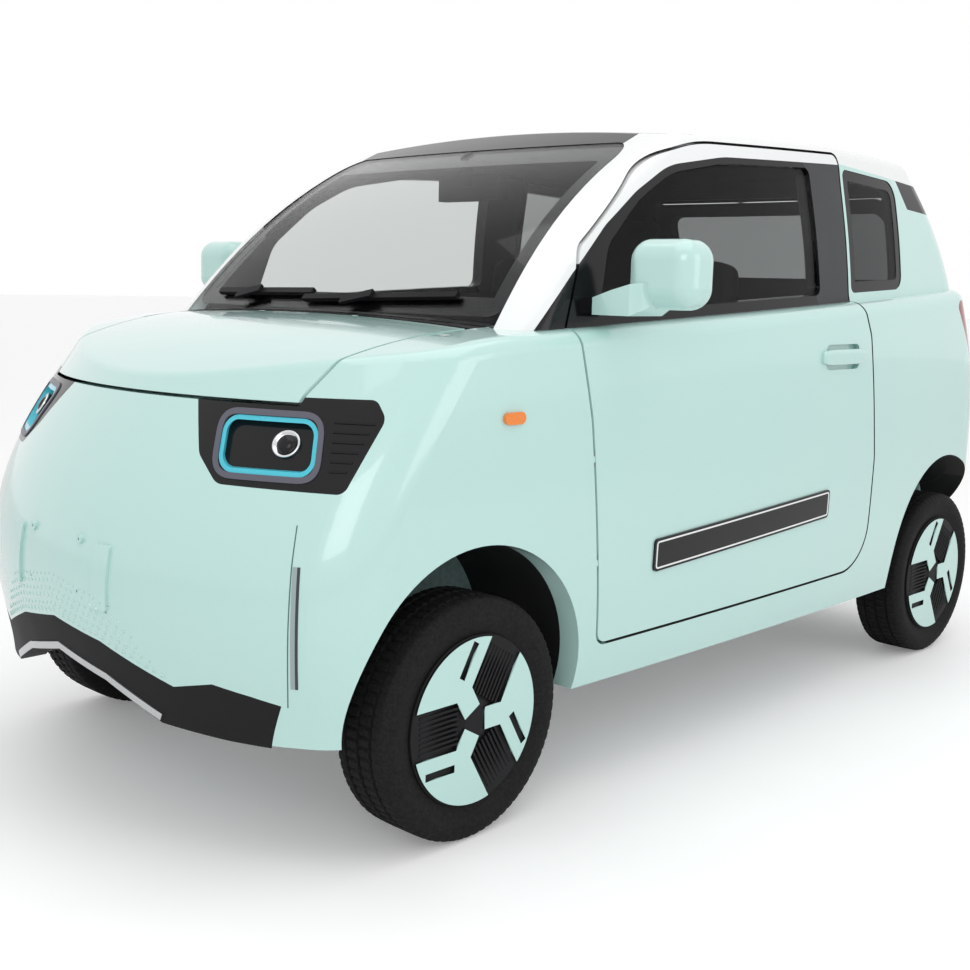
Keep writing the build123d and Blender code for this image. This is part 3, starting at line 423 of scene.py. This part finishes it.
def rounded_path(corners, spacing):
    """Closed path through corners given as a, b, radius, with points about spacing apart"""
    path = []
    count = len(corners)
    for index, (a, b, radius) in enumerate(corners):
        here = Vector((a, b))
        before = Vector(corners[index - 1][:2])
        after = Vector(corners[(index + 1) % count][:2])
        into, out = (here - before).normalized(), (after - here).normalized()
        turn = into.angle_signed(out)
        reach = radius * math.tan(abs(turn) / 2)
        start, end = here - into * reach, here + out * reach
        for step in range(CORNER_STEPS + 1):
            share = step / CORNER_STEPS
            path.append(start * (1 - share) ** 2 + here * 2 * share * (1 - share) + end * share**2)
    spots = []
    for index, spot in enumerate(path):
        following = path[(index + 1) % len(path)]
        pieces = max(1, round((following - spot).length / spacing))
        spots += [spot.lerp(following, piece / pieces) for piece in range(pieces)]
    return [spot for index, spot in enumerate(spots) if (spot - spots[index - 1]).length > SAME_POINT]


SWEEP_EDGE_ANGLE = math.radians(40)


def sweep(name, sections, closed, finish_name, body, slot_name):
    """Solid through sections that have as many points each"""
    corners = len(sections[0])

    def fill(work):
        rings = [[work.verts.new(point) for point in section] for section in sections]
        last = len(rings) if closed else len(rings) - 1
        for index in range(last):
            here, there = rings[index], rings[(index + 1) % len(rings)]
            for corner in range(corners):
                other = (corner + 1) % corners
                work.faces.new((here[corner], here[other], there[other], there[corner]))
        if not closed:
            work.faces.new(rings[0])
            work.faces.new(reversed(rings[-1]))
        bmesh.ops.recalc_face_normals(work, faces=work.faces)

    made = new_object(name, fill, finish_name, body, slot_name)
    made.data.set_sharp_from_angle(angle=SWEEP_EDGE_ANGLE)
    return made


def across_path(spots, index, closed):
    """Unit step to the left of a path at one of its points"""
    last = len(spots) - 1
    before = spots[index - 1] if closed or index > 0 else spots[0]
    after = spots[(index + 1) % len(spots)] if closed or index < last else spots[last]
    along = (after - before).normalized()
    return Vector((-along.y, along.x))


def band(name, nodes, look, corners, *, width, lift, thick, finish_name, body, slot_name, spacing=0.012):
    """Band of one width inside a closed outline, lying on the surface of CAD nodes"""
    tree = tree_of(*nodes)
    spots = rounded_path(corners, spacing)
    area = sum(a.x * b.y - b.x * a.y for a, b in zip(spots, spots[1:] + spots[:1]))
    if area < 0:
        spots.reverse()
    sections = []
    for index, spot in enumerate(spots):
        inner = spot + across_path(spots, index, True) * width
        around = [(spot, lift), (inner, lift), (inner, lift - thick), (spot, lift - thick)]
        sections.append([surface_point(tree, look, place, height) for place, height in around])
    return sweep(name, sections, True, finish_name, body, slot_name)


def strip(name, nodes, look, ends, *, width, lift, thick, finish_name, body, slot_name, spacing=0.015,
          rows=1):
    """Strip along an open path on the surface of CAD nodes, with so many rows of faces across its width"""
    tree = tree_of(*nodes)
    spots = []
    for start, end in zip(ends, ends[1:]):
        start, end = Vector(start), Vector(end)
        pieces = max(1, round((end - start).length / spacing))
        spots += [start.lerp(end, piece / pieces) for piece in range(pieces)]
    spots.append(Vector(ends[-1]))
    sections = []
    for index, spot in enumerate(spots):
        across = across_path(spots, index, False) * width
        places = [spot + across * (0.5 - row / rows) for row in range(rows + 1)]
        if all(hits(tree, look, place) for place in places):
            outside = [surface_point(tree, look, place, lift) for place in places]
            inside = [surface_point(tree, look, place, lift - thick) for place in reversed(places)]
            sections.append(outside + inside)
    return sweep(name, sections, False, finish_name, body, slot_name)


def right_copy(made, name, body):
    """The same piece on the right side"""
    mesh = made.data.copy()
    mesh.name = name
    mesh.transform(Matrix.Diagonal((1, -1, 1, 1)))
    mesh.flip_normals()
    other = bpy.data.objects.new(name, mesh)
    bpy.context.scene.collection.objects.link(other)
    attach(other, body)
    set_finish(other, made["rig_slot"])
    return other


# Trim on the body: outlines as two coordinates and a corner radius, and paths, in metres
WINDSHIELD_EDGE = [
    (-0.5790, 1.112, 0.04), (0.5790, 1.112, 0.04), (0.5180, 1.530, 0.06), (-0.5180, 1.530, 0.06)]
band("windshield_border", ["windshield"], "front", WINDSHIELD_EDGE, width=0.042, lift=-0.0064, thick=0.001,
     finish_name="black_gloss", body="body", slot_name="black_gloss")
RING_OUTLINE = [
    (-0.627, 0.921, 0.046), (-0.397, 0.921, 0.046), (-0.397, 0.789, 0.046), (-0.627, 0.789, 0.046)]
bezel = band("lamp_bezel_left", ["headlamps", "headlamp_rings"], "lamp", RING_OUTLINE, width=0.0115,
             lift=0.003, thick=0.006, finish_name="bezel_grey", body="body", slot_name="black_gloss",
             spacing=0.008)
right_copy(bezel, "lamp_bezel_right", "body")
LIP_EDGE = [(0.302, 0.290), (0.160, 0.352), (0.0, 0.389), (-0.160, 0.352), (-0.302, 0.290)]
strip("lip_strip", ["front_lip"], "front", LIP_EDGE, width=0.016, lift=0.003, thick=0.008,
      finish_name="silver", body="body", slot_name="steel", rows=2)
# Painted highlight: a thin band in white paint around the outline of the lower door pad, where its crease
# catches the light
PAD_EDGE = [
    (0.412, 0.5165, 0.010), (0.412, 0.5845, 0.010), (-0.392, 0.6260, 0.010), (-0.392, 0.5580, 0.010)]
pad_painted_highlight = band("door_pad_line_left", ["door_trim_left"], "left", PAD_EDGE, width=0.004, lift=0.0012,
                thick=0.002, finish_name="white_paint", body="door_left", slot_name="white_paint")
right_copy(pad_painted_highlight, "door_pad_line_right", "door_right")


def turned(name, centre, axis, profile, finish_name, body, slot_name, steps=40):
    """Solid turned about an axis; profile points are distance along the axis and radius"""
    axis = axis.normalized()
    side = axis.orthogonal().normalized()
    other = axis.cross(side)

    def fill(work):
        rings = []
        for along, radius in profile:
            ring = []
            for step in range(steps):
                angle = 2 * math.pi * step / steps
                ring.append(work.verts.new(
                    centre + axis * along + (side * math.cos(angle) + other * math.sin(angle)) * radius))
            rings.append(ring)
        for here, there in zip(rings, rings[1:]):
            for step in range(steps):
                after = (step + 1) % steps
                work.faces.new((here[step], here[after], there[after], there[step]))
        work.faces.new(rings[0])
        work.faces.new(rings[-1])
        bmesh.ops.recalc_face_normals(work, faces=work.faces)

    return new_object(name, fill, finish_name, body, slot_name)


# Inside of the head lamps: profiles are distance along the axis and radius, in metres
PROJECTOR_SPOT = (-0.475, 0.857)
lamp_tree = tree_of("headlamps")
projector_place = surface_point(lamp_tree, "lamp", PROJECTOR_SPOT, 0)
projector_axis = surface_point(lamp_tree, "lamp", PROJECTOR_SPOT, 1) - projector_place
BOWL = [(0.0, 0.030), (0.006, 0.030), (0.0075, 0.028), (0.006, 0.025), (0.002, 0.021)]
LENS = [(0.001, 0.021), (0.005, 0.020), (0.009, 0.017), (0.012, 0.011), (0.013, 0.004)]
for name, profile, finish_name in (("lamp_bowl", BOWL, "chrome"), ("lamp_lens", LENS, "black_gloss")):
    made = turned(name + "_left", projector_place, projector_axis, profile, finish_name, "body", "steel")
    right_copy(made, name + "_right", "body")

# Ribs beside each lamp ring, in metres: higher ribs reach further out, by a slope from a start level
LAMP_RIBS = 6
RIB_FIRST_LEVEL = 0.815
RIB_PITCH = 0.018
RIB_INNER_END = -0.380
RIB_OUTER_END = -0.352
RIB_OUTER_SLOPE = 0.52
RIB_SLOPE_START = 0.80
for index in range(LAMP_RIBS):
    level = RIB_FIRST_LEVEL + RIB_PITCH * index
    outer_end = RIB_OUTER_END + RIB_OUTER_SLOPE * (level - RIB_SLOPE_START)
    rib = strip(f"lamp_rib_{index}_left", ["headlamps"], "lamp", [(RIB_INNER_END, level), (outer_end, level)],
                width=0.004, lift=0.002, thick=0.004, finish_name="black_plastic", body="body",
                slot_name="black_gloss")
    right_copy(rib, f"lamp_rib_{index}_right", "body")

# Field of small raised triangles above the lip: each row is narrower, and its triangles smaller, by a share
LIP_TOP = [(0.0, 0.456), (0.160, 0.430), (0.345, 0.364)]
DIMPLE_PITCH = 0.019
DIMPLE_ROWS = 6
DIMPLE_ROW_STEP = 0.85
DIMPLE_FIRST = 0.013
DIMPLE_REACH = 0.33
DIMPLE_NARROWING = 0.07
DIMPLE_SIZE = 0.0075
DIMPLE_SHRINKING = 0.09
DIMPLE_FOOT_LIFT = 0.0002
DIMPLE_TIP_LIFT = 0.0026
DIMPLE_EDGE_ANGLE = math.radians(10)


def lip_top_at(across):
    across = abs(across)
    for (near, high), (distant, low) in zip(LIP_TOP, LIP_TOP[1:]):
        if across <= distant:
            return high + (low - high) * (across - near) / (distant - near)
    return LIP_TOP[-1][1]


def dimple_field(work):
    tree = tree_of("front_bumper")
    for row in range(DIMPLE_ROWS):
        count = int(DIMPLE_REACH / DIMPLE_PITCH)
        for column in range(-count, count + 1):
            across = (column + 0.5 * (row % 2)) * DIMPLE_PITCH
            if abs(across) > DIMPLE_REACH * (1 - DIMPLE_NARROWING * row):
                continue
            level = lip_top_at(across) + DIMPLE_FIRST + row * DIMPLE_PITCH * DIMPLE_ROW_STEP
            size = DIMPLE_SIZE * (1 - DIMPLE_SHRINKING * row)
            base = []
            for corner in range(3):
                angle = math.radians(90 + 120 * corner + 180 * (row % 2))
                spot = (across + size * math.cos(angle), level + size * math.sin(angle))
                base.append(work.verts.new(surface_point(tree, "front", spot, DIMPLE_FOOT_LIFT)))
            tip = work.verts.new(surface_point(tree, "front", (across, level), DIMPLE_TIP_LIFT))
            for corner in range(3):
                work.faces.new((base[corner], base[(corner + 1) % 3], tip))
    bmesh.ops.recalc_face_normals(work, faces=work.faces)


dimples = new_object("bumper_dimples", dimple_field, "mint_paint", "body", "mint_paint")
dimples.data.set_sharp_from_angle(angle=DIMPLE_EDGE_ANGLE)

# Wipers, resting at the foot of the windshield: ends of the blade, and foot of the arm
WIPER_ROWS = [
    ("left", (0.44, 1.148), (-0.06, 1.130), (0.10, 1.120)),
    ("right", (-0.04, 1.146), (-0.46, 1.138), (-0.34, 1.122)),
]
for label, start, end, pivot in WIPER_ROWS:
    middle = tuple((a + b) / 2 for a, b in zip(start, end))
    strip("wiper_blade_" + label, ["windshield"], "front", [start, end], width=0.012, lift=0.014, thick=0.012,
          finish_name="black_plastic", body="body", slot_name="black_plastic")
    strip("wiper_arm_" + label, ["windshield"], "front", [pivot, middle], width=0.016, lift=0.024,
          thick=0.009, finish_name="black_plastic", body="body", slot_name="black_plastic")

# Lines where fixed panels meet
REAR_LINE = [
    (-1.440, 0.300), (-1.440, 0.615), (-1.4445, 0.638), (-1.456, 0.658), (-1.476, 0.683), (-1.490, 0.695),
    (-1.503, 0.700)]
TAIL_LINE = [(-0.63, 0.700), (0.63, 0.700)]
REAR_PANELS = ["rear_bumper", "body_sides"]
line = strip("rear_bumper_line_left", REAR_PANELS, "left", REAR_LINE, width=0.003, lift=0.0006, thick=0.0012,
             finish_name="seal_line", body="body", slot_name="black_plastic")
right_copy(line, "rear_bumper_line_right", "body")
strip("rear_bumper_line_tail", REAR_PANELS, "rear", TAIL_LINE, width=0.003, lift=0.0006, thick=0.0012,
      finish_name="seal_line", body="body", slot_name="black_plastic")
BUMPER_LINE = [(-0.4335, 0.715), (-0.4395, 0.638), (-0.4445, 0.510), (-0.4480, 0.394), (-0.4495, 0.352)]
crease = strip("bumper_line_left", ["front_bumper", "fenders"], "lamp", BUMPER_LINE, width=0.0024,
               lift=0.0004, thick=0.001, finish_name="seal_line", body="body", slot_name="black_plastic")
right_copy(crease, "bumper_line_right", "body")

# Flat sheet over the slot of each front corner, held level with the skin on both sides of the slot, with the
# slot's recess painted on it in greyed mint as painted shade; the last part of its width is darker, a painted
# shadow
SLOT_FOOT = {"level": 0.394, "inner": -0.4420, "outer": -0.4270}
SLOT_HEAD = {"level": 0.638, "inner": -0.4370, "outer": -0.4220}
SLOT_MARGIN = 0.006
SLOT_STEPS = 16
SLOT_PROUD = 0.0012
SLOT_THICK = 0.003
SLOT_SHADOW_FROM = 0.62
corner_tree = tree_of("front_bumper", "fenders")


def slot_sections(from_share, to_share):
    sections = []
    for step in range(SLOT_STEPS + 1):
        share = step / SLOT_STEPS
        row = {key: SLOT_FOOT[key] * (1 - share) + SLOT_HEAD[key] * share for key in SLOT_FOOT}
        ends = []
        for lift in (SLOT_PROUD, SLOT_PROUD - SLOT_THICK):
            inner = surface_point(corner_tree, "lamp", (row["inner"] - SLOT_MARGIN, row["level"]), lift)
            outer = surface_point(corner_tree, "lamp", (row["outer"] + SLOT_MARGIN, row["level"]), lift)
            across = row["outer"] - row["inner"] + 2 * SLOT_MARGIN
            for width_share in (from_share, to_share):
                along = (SLOT_MARGIN + width_share * (row["outer"] - row["inner"])) / across
                ends.append(inner.lerp(outer, along))
        sections.append([ends[0], ends[1], ends[3], ends[2]])
    return sections


# Greyed mint painted shade over most of the slot, then a darker painted shadow along its last part
SLOT_ROWS = [
    ("corner_slot", 0, SLOT_SHADOW_FROM, "slot_grey"),
    ("corner_slot_painted_shadow", SLOT_SHADOW_FROM, 1, "grey_plastic"),
]
for name, from_share, to_share, finish_name in SLOT_ROWS:
    sections = slot_sections(from_share, to_share)
    insert = sweep(name + "_left", sections, False, finish_name, "body", "black_plastic")
    right_copy(insert, name + "_right", "body")

# Mirrors: a tapered neck from the cap to the door, and the glass on the cap's rear face
NECK_COLUMNS = ("y", "rear_x", "front_x", "low_z", "high_z")
NECK_FALL = 0.006
NECK_ROWS = [
    (0.688, 0.553, 0.630, 1.119, 1.163),
    (0.740, 0.530, 0.632, 1.119, 1.180),
    (0.788, 0.505, 0.627, 1.119, 1.194),
    (0.815, 0.500, 0.584, 1.140, 1.200),
]
neck_sections = []
for values in NECK_ROWS:
    row = dict(zip(NECK_COLUMNS, values))
    neck_sections.append([
        Vector((row["rear_x"], row["y"], row["high_z"])),
        Vector((row["front_x"], row["y"], row["high_z"] - NECK_FALL)),
        Vector((row["front_x"], row["y"], row["low_z"])),
        Vector((row["rear_x"], row["y"], row["low_z"]))])
neck = sweep("mirror_neck_left", neck_sections, False, "mint_paint", "door_left", "mint_paint")
right_copy(neck, "mirror_neck_right", "door_right")
MIRROR_GLASS = [(0.786, 1.211), (0.868, 1.211)]
mirror_glass = strip("mirror_glass_left", ["mirror_left"], "rear", MIRROR_GLASS, width=0.080, lift=0.0015,
                     thick=0.002, finish_name="chrome", body="door_left", slot_name="steel", rows=4)
right_copy(mirror_glass, "mirror_glass_right", "door_right")

# Rounded grips over the door handles: half lengths, the middle of the handle as x and z, and the depth of the
# grip's middle under the surface, in metres
GRIP_HALF = (0.1175, 0.0125, 0.0215)
GRIP_SPOT = (-0.4315, 1.0035)
GRIP_SINK = 0.009
grip = new_object(
    "door_grip_left", rounded_cushion(GRIP_HALF, ()), "mint_paint", "door_left", "mint_paint")
grip_y = surface_point(tree_of("door_left"), "left", GRIP_SPOT, 0).y - GRIP_SINK
grip.data.transform(Matrix.Translation((GRIP_SPOT[0], grip_y, GRIP_SPOT[1])))
right_copy(grip, "door_grip_right", "door_right")

# Seals in the gaps above the doors: path in the middle of the gap, as x and z
SEAL_PATH = [(0.330, 1.4935), (0.140, 1.5475), (-0.505, 1.5685)]
SEAL_BELOW = 0.014
SEAL_DEPTH = (0.024, 0.038)
SEAL_HALF = 0.0027
SEAL_STEPS = 12
frame_tree = tree_of("door_frame_left")
seal_sections = []
for start, end in zip(SEAL_PATH, SEAL_PATH[1:]):
    for step in range(1, SEAL_STEPS + 1):
        x, z = Vector(start).lerp(Vector(end), step / SEAL_STEPS)
        skin = surface_point(frame_tree, "left", (x, z - SEAL_BELOW), 0).y
        outer, inner = (skin - depth for depth in SEAL_DEPTH)
        seal_sections.append([
            Vector((x, outer, z + SEAL_HALF)), Vector((x, outer, z - SEAL_HALF)),
            Vector((x, inner, z - SEAL_HALF)), Vector((x, inner, z + SEAL_HALF))])
seal = sweep("door_seal_left", seal_sections, False, "black_plastic", "body", "black_plastic")
right_copy(seal, "door_seal_right", "body")

# Seal in the gap above the tailgate, behind its hinges
HATCH_SEAL_HALF_Y = 0.440
HATCH_SEAL_STEPS = 24
HATCH_SKIN_Z = 1.466
HATCH_SEAL_DEPTH = (0.049, 0.065)
HATCH_SEAL_Z = (1.4915, 1.5005)
tailgate_tree = tree_of("tailgate")
hatch_seal_sections = []
for step in range(HATCH_SEAL_STEPS + 1):
    y = HATCH_SEAL_HALF_Y * (2 * step / HATCH_SEAL_STEPS - 1)
    skin = surface_point(tailgate_tree, "rear", (y, HATCH_SKIN_Z), 0).x
    outer, inner = (skin + depth for depth in HATCH_SEAL_DEPTH)
    low, high = HATCH_SEAL_Z
    hatch_seal_sections.append([
        Vector((outer, y, high)), Vector((outer, y, low)),
        Vector((inner, y, low)), Vector((inner, y, high))])
sweep("tailgate_seal", hatch_seal_sections, False, "black_plastic", "body", "black_plastic")

# Tail: paths in metres
STOP_LAMP = [(-0.13, 1.468), (0.13, 1.468)]
strip("stop_lamp", ["tailgate"], "rear", STOP_LAMP, width=0.016, lift=0.004, thick=0.008,
      finish_name="lamp_red", body="tailgate", slot_name="lamp_red")
TAILGATE_GRIP = [(-0.26, 0.99), (0.26, 0.99)]
strip("tailgate_grip", ["tailgate"], "rear", TAILGATE_GRIP, width=0.034, lift=0.006, thick=0.008,
      finish_name="black_gloss", body="tailgate", slot_name="black_gloss", rows=3)
REFLECTOR = [(0.40, 0.43), (0.53, 0.44)]
reflector = strip("reflector_left", ["rear_bumper"], "rear", REFLECTOR, width=0.026, lift=0.005, thick=0.008,
                  finish_name="lamp_red", body="body", slot_name="lamp_red", rows=3)
right_copy(reflector, "reflector_right", "body")
REAR_SKIRT = [(-0.46, 0.325), (0.46, 0.325)]
strip("rear_skirt", ["rear_bumper"], "rear", REAR_SKIRT, width=0.070, lift=0.005, thick=0.008,
      finish_name="black_plastic", body="body", slot_name="black_plastic", rows=7)

# Stage: a wide floor, brighter where the camera sees it
FLOOR_HALF = 60
FLOOR_LIFT = 0.16
floor_corners = [
    (-FLOOR_HALF, -FLOOR_HALF, 0), (FLOOR_HALF, -FLOOR_HALF, 0),
    (FLOOR_HALF, FLOOR_HALF, 0), (-FLOOR_HALF, FLOOR_HALF, 0)]
floor_mesh = bpy.data.meshes.new("floor")
floor_mesh.from_pydata(floor_corners, [], [(0, 1, 2, 3)])
floor = bpy.data.objects.new("floor", floor_mesh)
bpy.context.scene.collection.objects.link(floor)
stage_tree = FINISH["stage"].node_tree
stage_shader = stage_tree.nodes["Principled BSDF"]
stage_shader.inputs["Emission Color"].default_value = (1, 1, 1, 1)
stage_seen = stage_tree.nodes.new("ShaderNodeLightPath")
stage_lift = stage_tree.nodes.new("ShaderNodeMath")
stage_lift.operation = "MULTIPLY"
stage_lift.inputs[1].default_value = FLOOR_LIFT
stage_tree.links.new(stage_seen.outputs["Is Camera Ray"], stage_lift.inputs[0])
stage_tree.links.new(stage_lift.outputs["Value"], stage_shader.inputs["Emission Strength"])
floor_mesh.materials.append(FINISH["stage"])

world = bpy.data.worlds.new("studio")
bpy.context.scene.world = world
world.use_nodes = True
world.node_tree.nodes["Background"].inputs["Color"].default_value = (1, 1, 1, 1)

# Plain light of one strength on the surfaces, and a white background where it is seen, mirrored or looked
# through to
WORLD_LIGHT = 0.80
BACKGROUND_WHITE = 1.0
sky = world.node_tree
seen = sky.nodes.new("ShaderNodeLightPath")
direct = sky.nodes.new("ShaderNodeMath")
direct.operation = "MAXIMUM"
sky.links.new(seen.outputs["Is Camera Ray"], direct.inputs[0])
sky.links.new(seen.outputs["Is Transmission Ray"], direct.inputs[1])
shown = sky.nodes.new("ShaderNodeMath")
shown.operation = "MAXIMUM"
sky.links.new(direct.outputs["Value"], shown.inputs[0])
sky.links.new(seen.outputs["Is Glossy Ray"], shown.inputs[1])
strength = sky.nodes.new("ShaderNodeMapRange")
strength.inputs["To Min"].default_value = WORLD_LIGHT
strength.inputs["To Max"].default_value = BACKGROUND_WHITE
sky.links.new(shown.outputs["Value"], strength.inputs["Value"])
sky.links.new(strength.outputs["Result"], sky.nodes["Background"].inputs["Strength"])

# Area lights: places, aims and sizes in metres
LIGHT_COLUMNS = ("name", "place", "aim", "size", "watts")
LIGHT_ROWS = [
    ("overhead", (0.5, 0.5, 4.5), (0, 0, 0.5), 4.0, 44),
    ("front_left", (4.5, 3.5, 2.8), (0.5, 0, 0.6), 2.5, 42),
    ("left_side", (-1.0, 4.8, 2.2), (-0.3, 0.5, 0.7), 2.5, 24),
]
for values in LIGHT_ROWS:
    row = dict(zip(LIGHT_COLUMNS, values))
    lamp = bpy.data.lights.new(row["name"], "AREA")
    lamp.size = row["size"]
    lamp.energy = row["watts"]
    lamp_object = bpy.data.objects.new(row["name"], lamp)
    lamp_object.location = row["place"]
    toward = Vector(row["aim"]) - Vector(row["place"])
    lamp_object.rotation_euler = toward.to_track_quat("-Z", "Y").to_euler()
    bpy.context.scene.collection.objects.link(lamp_object)

# Camera
yaw, pitch, roll = (math.radians(angle) for angle in (CAMERA_YAW, CAMERA_PITCH, CAMERA_ROLL))
ahead = Vector((math.cos(pitch) * math.cos(yaw), math.cos(pitch) * math.sin(yaw), math.sin(pitch)))
level_right = ahead.cross(Vector((0, 0, 1))).normalized()
level_up = level_right.cross(ahead)
right = level_right * math.cos(roll) + level_up * math.sin(roll)
up = level_up * math.cos(roll) - level_right * math.sin(roll)
camera = bpy.data.cameras.new("camera")
camera.sensor_width = SENSOR_MM
camera.lens = FOCAL_PIXELS * SENSOR_MM / FRAME_PIXELS
camera_object = bpy.data.objects.new("camera", camera)
camera_turn = Matrix((right, up, -ahead)).transposed().to_4x4()
camera_object.matrix_world = Matrix.Translation(CAMERA_PLACE) @ camera_turn
bpy.context.scene.collection.objects.link(camera_object)
bpy.context.scene.camera = camera_object
bpy.context.scene.view_settings.view_transform = "Standard"
